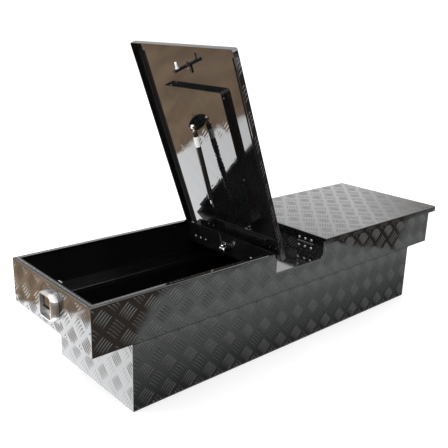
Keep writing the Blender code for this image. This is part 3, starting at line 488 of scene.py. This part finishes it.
def add_piece(name, body, bm, material, smooth=True):
    """Object from a bmesh that rides on a body, with the named material."""
    bmesh.ops.recalc_face_normals(bm, faces=bm.faces)
    mesh = bpy.data.meshes.new(name)
    bm.to_mesh(mesh)
    bm.free()
    if smooth:
        mesh.shade_smooth()
        mesh.set_sharp_from_angle(angle=SHARP_ANGLE)
    mesh.materials.append(materials[material])
    piece = bpy.data.objects.new(name, mesh)
    bpy.context.scene.collection.objects.link(piece)
    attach(piece, body)


def surface(origin, u_axis, v_axis, turn=None):
    """Map (u, v, w) on a sheet to the frame; w is the height over the sheet."""
    u_axis, v_axis = Vector(u_axis), Vector(v_axis)
    normal = u_axis.cross(v_axis)
    origin = Vector(origin)

    def place(u, v, w):
        point = origin + u_axis * u + v_axis * v + normal * w
        return turn @ point if turn else point
    return place


def within(u_low, u_high, v_low, v_high, margin=EDGE_MARGIN):
    """Test for points at least a margin inside a rectangle."""
    def test(u, v):
        return u_low + margin < u < u_high - margin and v_low + margin < v < v_high - margin
    return test


def mirrored(side):
    """Matrix that takes a point of the right side to the same place of this side of the box."""
    return Matrix.Identity(4) if side == "right" else Matrix.Scale(-1.0, 4, Vector(RIGHT))


def opened(side):
    """Matrix that takes a point of the right shut lid to this side's lid as it stands."""
    if side == "right":
        return mirrored(side)
    axis = Vector((-HINGE.x, 0.0, HINGE.z))
    turn = Matrix.Translation(axis) @ Matrix.Rotation(LID_ANGLE, 4, "Y") @ Matrix.Translation(-axis)
    return turn @ mirrored(side)


def in_notch(x, z, left):
    """Inside the trough's cut-out in the front or rear sheet, which reaches to -left."""
    return -left - NOTCH_MARGIN < x < TROUGH_HALF + NOTCH_MARGIN and z > TROUGH_TOP - NOTCH_MARGIN


def build_band_tread():
    """Bars on the front and rear of the band, clear of the trough's cut-outs."""
    band = (-HALF_LENGTH, HALF_LENGTH, BAND_BOTTOM, RIM - BEND)
    on_band = within(*band)
    add_tread("front_band_tread", "box", surface((0, -HALF_DEPTH, 0), RIGHT, UP), band,
              lambda u, v: on_band(u, v) and not in_notch(u, v, NOTCH_LEFT), GROUP_CENTRE["front_band"])
    add_tread("rear_band_tread", "box", surface((0, HALF_DEPTH, 0), LEFT, UP), band,
              lambda u, v: on_band(u, v) and not in_notch(-u, v, TROUGH_HALF), GROUP_CENTRE["rear_band"])


def build_tub_tread():
    """Bars on the front and rear of the tub."""
    tub = (-TUB_HALF, TUB_HALF, TUB_FOOT, BAND_BOTTOM)
    add_tread("tub_front_tread", "box", surface((0, TUB_LOW.y, 0), RIGHT, UP), tub,
              within(*tub), GROUP_CENTRE["tub_front"])
    add_tread("tub_rear_tread", "box", surface((0, TUB_REAR, 0), LEFT, UP), tub,
              within(*tub), GROUP_CENTRE["tub_rear"])


def build_end_tread(side, sign):
    """Bars on the band's end, clear of the latch, and on the tub's end."""
    latch_low, latch_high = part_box("right_latch_dish")
    end = (-HALF_DEPTH, HALF_DEPTH, BAND_BOTTOM, RIM - BEND)
    on_end = within(*end)

    def clear(u, v):
        beside = not latch_low.y - LATCH_MARGIN < u * sign < latch_high.y + LATCH_MARGIN
        over_or_under = not latch_low.z - LATCH_MARGIN < v < latch_high.z + LATCH_MARGIN
        return on_end(u, v) and (beside or over_or_under)

    add_tread(f"{side}_end_tread", "box", surface((sign * HALF_LENGTH, 0, 0), (0, sign, 0), UP), end,
              clear, GROUP_CENTRE["band_end"])
    tub_end = (*sorted((sign * TUB_LOW.y, sign * TUB_REAR)), TUB_FOOT, BAND_BOTTOM)
    add_tread(f"tub_{side}_tread", "box", surface((sign * TUB_HALF, 0, 0), (0, sign, 0), UP), tub_end,
              within(*tub_end), GROUP_CENTRE["tub_end"])


def build_rim_tread(side, sign):
    """Low bars along the rim's return flanges."""
    rim = surface((0, 0, RIM), RIGHT, REAR)
    near_trough = sign * (TROUGH_HALF + NOTCH_MARGIN)
    low_x, high_x = sorted((near_trough, sign * (HALF_LENGTH - RIM_WIDTH)))
    for label, low_y, high_y in (("front", -HALF_DEPTH + BEND + FOLD_WIDTH, -HALF_DEPTH + RIM_WIDTH),
                                 ("rear", HALF_DEPTH - RIM_WIDTH, HALF_DEPTH - BEND - FOLD_WIDTH)):
        region = (low_x, high_x, low_y, high_y)
        add_tread(f"{side}_{label}_rim_tread", "box", rim, region, within(*region, margin=FLANGE_MARGIN),
                  GROUP_CENTRE[f"{side}_rim"], RIM_BAR_HEIGHT)
    low_x, high_x = sorted((sign * (HALF_LENGTH - RIM_WIDTH + FOLD_WIDTH),
                            sign * (HALF_LENGTH - BEND - FOLD_WIDTH)))
    region = (low_x, high_x, -HALF_DEPTH + RIM_WIDTH, HALF_DEPTH - RIM_WIDTH)
    add_tread(f"{side}_end_rim_tread", "box", rim, region, within(*region, margin=FLANGE_MARGIN),
              GROUP_CENTRE["end_rim"], RIM_BAR_HEIGHT)


def build_trough_tread(side, sign):
    """Bars on a wall of the trough, clear of the hinges' box leaves."""
    region = (-HALF_DEPTH + TROUGH_INSET, HALF_DEPTH - TROUGH_INSET, TROUGH_TOP, RIM)
    leaves = [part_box(f"{side}_{place}_hinge_box_leaf") for place in ("front", "rear")]
    on_wall = within(*region)

    def clear(u, v):
        on_leaves = any(low.y - NOTCH_MARGIN < -sign * u < high.y + NOTCH_MARGIN and v > low.z - NOTCH_MARGIN
                        for low, high in leaves)
        return on_wall(u, v) and not on_leaves

    add_tread(f"trough_{side}_tread", "box", surface((sign * TROUGH_HALF, 0, 0), (0, -sign, 0), UP), region,
              clear, GROUP_CENTRE["trough"], FLANGE_BAR_HEIGHT)


def build_lid_tread(side):
    """Bars on a lid's top and, cut short, on its three narrow outer flanges."""
    body = f"{side}_lid"
    turn = opened(side)
    top = (LID_LOW.x, LID_HIGH.x - BEND, -LID_HIGH.y + BEND, LID_HIGH.y - BEND)
    add_tread(f"{side}_lid_top_tread", body, surface((0, 0, LID_TOP), RIGHT, REAR, turn), top,
              within(*top), GROUP_CENTRE["lid_top"], LID_BAR_HEIGHT)
    heights = (LID_TOP - LID_FLANGE, LID_TOP - BEND)
    front = (top[0], top[1], *heights)
    rear = (-top[1], -top[0], *heights)
    end = (top[2], top[3], *heights)
    for label, region, place in (
            ("front", front, surface((0, LID_LOW.y, 0), RIGHT, UP, turn)),
            ("rear", rear, surface((0, LID_HIGH.y, 0), LEFT, UP, turn)),
            ("end", end, surface((LID_HIGH.x, 0, 0), REAR, UP, turn))):
        add_tread(f"{side}_lid_{label}_tread", body, place, region, within(*region, margin=FLANGE_MARGIN),
                  GROUP_CENTRE[f"lid_{label}"], FLANGE_BAR_HEIGHT)


build_band_tread()
build_tub_tread()
for side, sign in SIDES.items():
    build_end_tread(side, sign)
    build_rim_tread(side, sign)
    build_trough_tread(side, sign)
for side in SIDES:
    build_lid_tread(side)


# ------------------------------------------------------------------ fittings on the sheets
def add_turned(bm, profile, origin, axis, turn=None, segments=16):
    """Solid of revolution; profile lists (distance along the axis, radius) and the ends are capped."""
    axis = Vector(axis).normalized()
    first = axis.orthogonal().normalized()
    second = axis.cross(first)
    rings = []
    for along, radius in profile:
        ring = []
        for step in range(segments):
            angle = 2 * math.pi * step / segments
            outward = first * math.cos(angle) + second * math.sin(angle)
            point = Vector(origin) + axis * along + outward * radius
            ring.append(bm.verts.new(turn @ point if turn else point))
        rings.append(ring)
    for ring, following in zip(rings, rings[1:]):
        for step in range(segments):
            after = (step + 1) % segments
            bm.faces.new((ring[step], ring[after], following[after], following[step]))
    bm.faces.new(list(reversed(rings[0])))
    bm.faces.new(rings[-1])


def add_domes(name, body, places, axis, radius, height, turn):
    """One bright piece with a low dome at every place."""
    profile = [(-SINK, radius), (height * DOME_STRAIGHT, radius)]
    for step in range(1, DOME_STEPS):
        angle = math.pi / 2 * step / DOME_STEPS
        rise = DOME_STRAIGHT + (1 - DOME_STRAIGHT) * math.sin(angle)
        profile.append((height * rise, radius * math.cos(angle)))
    bm = bmesh.new()
    for place in places:
        add_turned(bm, profile, place, axis, turn)
    add_piece(name, body, bm, "zinc")


def middle_y(name):
    """Middle of a node's box across the box's depth."""
    low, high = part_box(name)
    return (low.y + high.y) / 2


def build_rivets(side):
    """Bright domes over the set rivets: heads in the trough, tails inside the box and under the lid."""
    leaf_low, leaf_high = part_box("right_front_hinge_box_leaf")
    lid_low, lid_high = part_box("right_front_hinge_lid_leaf")
    centres = [middle_y(f"right_{place}_hinge_pin") for place in ("front", "rear")]
    rows = [centre + step * RIVET_PITCH for centre in centres for step in (-1, 0, 1)]
    for label, body, low, high, rise, turn in (
            ("box", "box", leaf_low, leaf_high, -RIVET_OFFSET, mirrored(side)),
            ("lid", f"{side}_lid", lid_low, lid_high, RIVET_OFFSET, opened(side))):
        z = HINGE.z + rise
        heads = [(low.x + RIVET_HEAD_RISE, y, z) for y in rows]
        add_domes(f"{side}_{label}_rivet_heads", body, heads, LEFT,
                  RIVET_HEAD_RADIUS, RIVET_HEAD_RISE + DOME_COVER, turn)
        tails = [(high.x - RIVET_TAIL_RISE, y, z) for y in rows]
        add_domes(f"{side}_{label}_rivet_tails", body, tails, RIGHT,
                  RIVET_TAIL_RADIUS, RIVET_TAIL_RISE + DOME_COVER, turn)


def strut_line(side):
    """Middle of a strut's upper ball and the direction from it down the strut."""
    top = opened(side) @ STRUT_TOP
    low = mirrored(side) @ STRUT_LOW
    return top, (low - top).normalized()


def build_strut_socket(side):
    """Bright socket round the strut's upper ball, and the neck that joins it to the cylinder."""
    top, down = strut_line(side)
    bm = bmesh.new()
    add_turned(bm, SOCKET_PROFILE, top, REAR)
    add_turned(bm, NECK_PROFILE, top, down)
    add_piece(f"{side}_strut_upper_socket", f"{side}_cylinder", bm, "zinc")


def build_strut_label(side):
    """Blank label, wrapped round the front half of the cylinder and a little beyond."""
    top, down = strut_line(side)
    across = Vector(FRONT)
    beside = down.cross(across)
    step_angle = 2 * LABEL_WRAP / LABEL_STEPS
    angles = [math.radians(-LABEL_WRAP + step_angle * step) for step in range(LABEL_STEPS + 1)]
    outline = [(CYLINDER_RADIUS + LABEL_RISE, angle) for angle in angles]
    outline += [(CYLINDER_RADIUS - LABEL_SINK, -angle) for angle in angles]
    bm = bmesh.new()
    loops = []
    for along in LABEL_SPAN:
        loop = []
        for radius, angle in outline:
            offset = (across * math.cos(angle) + beside * math.sin(angle)) * radius
            loop.append(bm.verts.new(top + down * along + offset))
        loops.append(loop)
    count = len(outline)
    for step in range(count):
        after = (step + 1) % count
        bm.faces.new((loops[0][step], loops[0][after], loops[1][after], loops[1][step]))
    for loop in loops:
        for step in range(LABEL_STEPS):
            bm.faces.new((loop[step], loop[step + 1], loop[count - 2 - step], loop[count - 1 - step]))
    add_piece(f"{side}_strut_label", f"{side}_cylinder", bm, "label")


def add_rod(name, start, length, radius, tip, material):
    """Thin rod along x with tapered ends, whose end radius is tip."""
    profile = [(0.0, tip), (ROD_TAPER, radius), (length - ROD_TAPER, radius), (length, tip)]
    bm = bmesh.new()
    add_turned(bm, profile, start, RIGHT, segments=8)
    add_piece(name, "box", bm, material)


def build_seams():
    """Dark joint under the band's lower edge, and the folded edge of the rear ledge."""
    start = (-TUB_HALF + ROD_INSET, -HALF_DEPTH + SEAM_BEHIND, BAND_BOTTOM - SEAM_BELOW)
    add_rod("front_seam", start, 2 * (TUB_HALF - ROD_INSET), SEAM_RADIUS, SEAM_TIP, "seal_rubber")
    low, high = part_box("rear_ledge")
    start = (low.x + ROD_INSET, low.y + LEDGE_EDGE_INSIDE, high.z)
    length = high.x - low.x - 2 * ROD_INSET
    add_rod("rear_ledge_edge", start, length, LEDGE_EDGE_RADIUS, LEDGE_EDGE_TIP, "black_tread")


def add_strip(bm, first, second, low, high):
    """Flat bar between two corners (x, y), from low to high."""
    xs, ys = sorted((first[0], second[0])), sorted((first[1], second[1]))
    corners = [(xs[0], ys[0]), (xs[1], ys[0]), (xs[1], ys[1]), (xs[0], ys[1])]
    bottom, top = ([bm.verts.new((x, y, z)) for x, y in corners] for z in (low, high))
    bm.faces.new(bottom)
    bm.faces.new(top)
    for index in range(4):
        following = (index + 1) % 4
        bm.faces.new((bottom[index], bottom[following], top[following], top[index]))


def build_rim_folds(side, sign):
    """Dull lines along the rim's outer folds and the end flange's inner edge."""
    end = sign * HALF_LENGTH
    gap = sign * (TROUGH_HALF + FOLD_GAP)
    fold = end - sign * BEND
    beside = fold - sign * FOLD_WIDTH
    inside = end - sign * RIM_WIDTH
    front, rear = -HALF_DEPTH + BEND, HALF_DEPTH - BEND
    strips = (((fold, front), (beside, rear)),
              ((beside, front), (gap, front + FOLD_WIDTH)),
              ((beside, rear), (gap, rear - FOLD_WIDTH)),
              ((inside, -HALF_DEPTH + RIM_WIDTH), (inside + sign * FOLD_WIDTH, HALF_DEPTH - RIM_WIDTH)))
    bm = bmesh.new()
    for first, second in strips:
        add_strip(bm, first, second, RIM - 2 * SINK, RIM + FOLD_HEIGHT)
    add_piece(f"{side}_rim_fold", "box", bm, "inside_coat", smooth=False)


def build_pan_welds(side):
    """Spot-weld marks on the stiffening pan's walls."""
    low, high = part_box("right_lid_stiffener")
    z = (low.z + LID_TOP) / 2 - WELD_DROP
    end_welds = [(high.x, y, z) for y in END_WELDS_Y]
    side_welds = [(x, low.y, z) for x in SIDE_WELDS_X]
    for label, places, axis in (("end", end_welds, RIGHT), ("side", side_welds, FRONT)):
        add_domes(f"{side}_pan_{label}_welds", f"{side}_lid", places, axis,
                  WELD_RADIUS, WELD_HEIGHT, opened(side))


def build_seal_lip(side):
    """Thin inner lip of the rear seal, flat on the lid's underside."""
    low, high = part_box("right_lid_rear_seal")
    turn = opened(side)
    section = [(low.y - SEAL_LIP, high.z),
               (low.y - SEAL_LIP, high.z - SEAL_LIP_THIN),
               (low.y - SEAL_LIP_FLAT, high.z - SEAL_LIP_THICK),
               (low.y - SEAL_GAP, high.z - SEAL_LIP_THICK),
               (low.y - SEAL_GAP, high.z)]
    bm = bmesh.new()
    rings = [[bm.verts.new(turn @ Vector((x, y, z))) for y, z in section] for x in (low.x, high.x)]
    for step in range(len(section)):
        after = (step + 1) % len(section)
        bm.faces.new((rings[0][step], rings[0][after], rings[1][after], rings[1][step]))
    for ring in rings:
        bm.faces.new(ring)
    add_piece(f"{side}_rear_seal_lip", f"{side}_lid", bm, "seal_rubber", smooth=False)


build_seams()
for side, sign in SIDES.items():
    build_rim_folds(side, sign)
for side in SIDES:
    build_rivets(side)
    build_strut_socket(side)
    build_strut_label(side)
    build_pan_welds(side)
    build_seal_lip(side)


# ------------------------------------------------------------------ studio
def stage_plane(name, x_span, y_span, z, material):
    """Level rectangle that belongs to the studio."""
    corners = [(x_span[0], y_span[0], z), (x_span[1], y_span[0], z),
               (x_span[1], y_span[1], z), (x_span[0], y_span[1], z)]
    mesh = bpy.data.meshes.new(name)
    mesh.from_pydata(corners, [], [(0, 1, 2, 3)])
    mesh.materials.append(material)
    plane = bpy.data.objects.new(name, mesh)
    bpy.context.scene.collection.objects.link(plane)
    return plane


def only_in_reflections(plane):
    """Hide a card from the camera, diffuse light, shadows and transmission."""
    plane.visible_camera = False
    plane.visible_diffuse = False
    plane.visible_shadow = False
    plane.visible_transmission = False


def floor_material():
    """White paper with a weak light of its own, so that it renders white."""
    made = Nodes("studio_floor")
    paper = made.tint(made.noise(scale=3.0, detail=2.0), FLOOR_DARK, FLOOR_LIGHT)
    made.link(paper, made.shader.inputs["Base Color"])
    made.shader.inputs["Roughness"].default_value = FLOOR_ROUGHNESS
    made.shader.inputs["Emission Color"].default_value = (1.0, 1.0, 1.0, 1.0)
    made.shader.inputs["Emission Strength"].default_value = FLOOR_GLOW
    return made.material


class CardNodes(Nodes):
    """Emission material for a reflector card, shaded by place."""

    def __init__(self, name):
        super().__init__(name)
        self.tree.nodes.remove(self.shader)
        self.glow = self.tree.nodes.new("ShaderNodeEmission")
        output = next(node for node in self.tree.nodes if node.type == "OUTPUT_MATERIAL")
        self.link(self.glow.outputs["Emission"], output.inputs["Surface"])

    def places(self):
        """The card's own x, y and z."""
        split = self.tree.nodes.new("ShaderNodeSeparateXYZ")
        self.link(self.coordinates, split.inputs["Vector"])
        return split.outputs["X"], split.outputs["Y"], split.outputs["Z"]

    def plus(self, first, second, factor):
        """first + second * factor"""
        return self.math("ADD", first, self.math("MULTIPLY", second, factor))

    def wander(self, scale, detail, width):
        """Noise of about the given width round zero, which makes a straight edge uneven."""
        return self.math("MULTIPLY", self.math("SUBTRACT", self.noise(scale, detail), 0.5), width)

    def levels(self, value, stops):
        """Grey level along a value, through the given (place, level) stops."""
        node = self.tree.nodes.new("ShaderNodeFloatCurve")
        curve = node.mapping.curves[0]
        top = max(level for _, level in stops)
        curve.points[0].location = (stops[0][0], stops[0][1] / top)
        curve.points[1].location = (stops[-1][0], stops[-1][1] / top)
        for place, level in stops[1:-1]:
            curve.points.new(place, level / top)
        for point in curve.points:
            point.handle_type = "VECTOR"
        node.mapping.update()
        self.link(value, node.inputs["Value"])
        return self.math("MULTIPLY", node.outputs["Value"], top)

    def mix(self, share, first, second):
        """Colour that goes from first to second with the share; each is a colour or a node's output."""
        node = self.tree.nodes.new("ShaderNodeMix")
        node.data_type = "RGBA"
        self.link(share, node.inputs["Factor"])
        # Inputs 6 and 7 and output 2 are the node's colour sockets.
        for socket, value in zip(node.inputs[6:8], (first, second)):
            if isinstance(value, tuple):
                socket.default_value = (*value, 1.0)
            else:
                self.link(value, socket)
        return node.outputs[2]


def side_card_material():
    """Round light sheet with a ragged edge, and brown ground beyond it."""
    made = CardNodes("side_card")
    card_x, card_y, _ = made.places()
    x = made.math("SUBTRACT", card_x, SHEET_CENTRE[0])
    y = made.math("SUBTRACT", card_y, SHEET_CENTRE[1])
    distance = made.math("SQRT", made.math("ADD", made.math("MULTIPLY", x, x), made.math("MULTIPLY", y, y)))
    ragged = made.wander(scale=12.0, detail=6.0, width=0.24)
    edge = made.math("ADD", distance, ragged)
    share = made.ramp(edge, 0.0, 1.0, start=SHEET_RADIUS - SHEET_BLUR, end=SHEET_RADIUS + SHEET_BLUR)
    brown = made.tint(made.noise(scale=5.0, detail=4.0), BROWN_DARK, BROWN_LIGHT)
    made.link(made.mix(share, SHEET_LIGHT, brown), made.glow.inputs["Color"])
    return made.material


def front_card_material():
    """Grey floor with a painted shadow of the box at its foot, darker far off and to the right, with brown ground
    at both sides.
    """
    made = CardNodes("front_card")
    x, y, _ = made.places()
    # Painted shadow of the box: the floor seen in reflections darkens towards the box's foot.
    painted_foot_shadow = made.ramp(y, 0.85, 0.12, start=-0.62, end=-0.27)
    wander = made.wander(scale=4.0, detail=3.0, width=0.12)
    far = made.ramp(made.math("ADD", y, wander), 0.06, 1.0, start=-1.00, end=-0.93)
    rightward = made.ramp(x, 1.0, 0.70, start=0.6, end=1.8)
    level = made.math("MULTIPLY", made.math("MULTIPLY", painted_foot_shadow, far), rightward)
    grey = made.mix(level, (0.0, 0.0, 0.0), FRONT_GREY)
    across = made.plus(x, y, LEFT_SLANT)
    left_share = made.ramp(made.math("ADD", across, wander), 1.0, 0.0, start=-1.21, end=-1.18)
    ground = made.mix(left_share, grey, LEFT_GROUND)
    jagged = made.wander(scale=16.0, detail=2.0, width=0.14)
    beyond = made.plus(x, y, RIGHT_SLANT)
    right_start = made.ramp(made.math("ADD", beyond, jagged), 0.0, 1.0, start=1.57, end=1.60)
    rising = made.plus(y, x, FAR_SLANT)
    right_end = made.ramp(made.math("ADD", rising, jagged), 1.0, 0.0, start=0.03, end=0.06)
    patch = made.math("MULTIPLY", right_start, right_end)
    made.link(made.mix(patch, ground, RIGHT_GROUND), made.glow.inputs["Color"])
    return made.material


def sky_material():
    """Sky seen only in reflections: bright in front, plain behind, dark low down behind at the left."""
    made = CardNodes("sky")
    x, y, z = (made.math("DIVIDE", place, SKY_RADIUS) for place in made.places())
    leftward = made.ramp(x, 1.0, 0.0, start=-0.50, end=-0.20)
    behind = made.mix(leftward, made.levels(z, SKY_BACK), made.levels(z, SKY_DARK))
    rightward = made.ramp(x, 0.0, 0.75, start=0.79, end=0.85)
    low_down = made.ramp(z, 1.0, 0.0, start=0.27, end=0.35)
    behind = made.mix(made.math("MULTIPLY", rightward, low_down), behind, SKY_RIGHT)
    forward = made.ramp(y, 1.0, 0.0, start=-0.40, end=0.10)
    made.link(made.mix(forward, behind, made.levels(z, SKY_FRONT)), made.glow.inputs["Color"])
    return made.material


def build_sky():
    """Upper part of a great sphere round the box."""
    bm = bmesh.new()
    bmesh.ops.create_icosphere(bm, subdivisions=4, radius=SKY_RADIUS)
    low = [vert for vert in bm.verts if vert.co.z < SKY_FOOT]
    bmesh.ops.delete(bm, geom=low, context="VERTS")
    mesh = bpy.data.meshes.new("sky")
    bm.to_mesh(mesh)
    bm.free()
    mesh.materials.append(sky_material())
    sky = bpy.data.objects.new("sky", mesh)
    bpy.context.scene.collection.objects.link(sky)
    only_in_reflections(sky)


def build_cards():
    """White floor, and on it the side and front cards that only reflections see."""
    floor_span = (-FLOOR_REACH, FLOOR_REACH)
    stage_plane("studio_floor", floor_span, floor_span, -FLOOR_DROP, floor_material())
    side = stage_plane("side_card", (-SIDE_CARD_REACH, SIDE_CARD_CORNER[0]),
                       (SIDE_CARD_CORNER[1], SIDE_CARD_REACH), 0.0, side_card_material())
    only_in_reflections(side)
    front = stage_plane("front_card", (-FRONT_CARD_REACH, FRONT_CARD_REACH),
                        (-FRONT_CARD_REACH, FRONT_CARD_EDGE), 0.0, front_card_material())
    only_in_reflections(front)


def add_area_light(name, location, size, power):
    """Square lamp that points at the box."""
    lamp = bpy.data.lights.new(name, "AREA")
    lamp.size = size
    lamp.energy = power
    light = bpy.data.objects.new(name, lamp)
    light.location = location
    light.rotation_euler = (Vector(LIGHT_TARGET) - Vector(location)).to_track_quat("-Z", "Y").to_euler()
    bpy.context.scene.collection.objects.link(light)


def build_lights():
    """White surroundings and two soft lamps."""
    world = bpy.data.worlds.new("studio")
    bpy.context.scene.world = world
    world.use_nodes = True
    background = world.node_tree.nodes["Background"]
    background.inputs["Color"].default_value = (1.0, 1.0, 1.0, 1.0)
    background.inputs["Strength"].default_value = WORLD_LEVEL
    add_area_light("key", location=(-2.4, 1.8, 2.6), size=1.6, power=30.0)
    add_area_light("fill", location=(2.0, -2.4, 2.4), size=2.0, power=15.0)


def build_camera():
    """Camera that stands off the box's front left corner, slightly rolled."""
    back = Vector((math.sin(CAMERA_AZIMUTH) * math.cos(CAMERA_ELEVATION),
                   -math.cos(CAMERA_AZIMUTH) * math.cos(CAMERA_ELEVATION),
                   math.sin(CAMERA_ELEVATION)))
    right = Vector((math.cos(CAMERA_AZIMUTH), math.sin(CAMERA_AZIMUTH), 0.0))
    up = back.cross(right)
    rolled_right = right * math.cos(CAMERA_ROLL) + up * math.sin(CAMERA_ROLL)
    rolled_up = up * math.cos(CAMERA_ROLL) - right * math.sin(CAMERA_ROLL)
    turn = Matrix((rolled_right, rolled_up, back)).transposed()
    lens = bpy.data.cameras.new("camera")
    lens.sensor_width = SENSOR_WIDTH
    lens.lens = CAMERA_LENS
    lens.clip_start, lens.clip_end = CAMERA_CLIP
    camera = bpy.data.objects.new("camera", lens)
    camera.matrix_world = Matrix.Translation(CAMERA_PLACE) @ turn.to_4x4()
    bpy.context.scene.collection.objects.link(camera)
    bpy.context.scene.camera = camera


build_sky()
build_cards()
build_lights()
build_camera()
bpy.context.scene.view_settings.view_transform = "Standard"
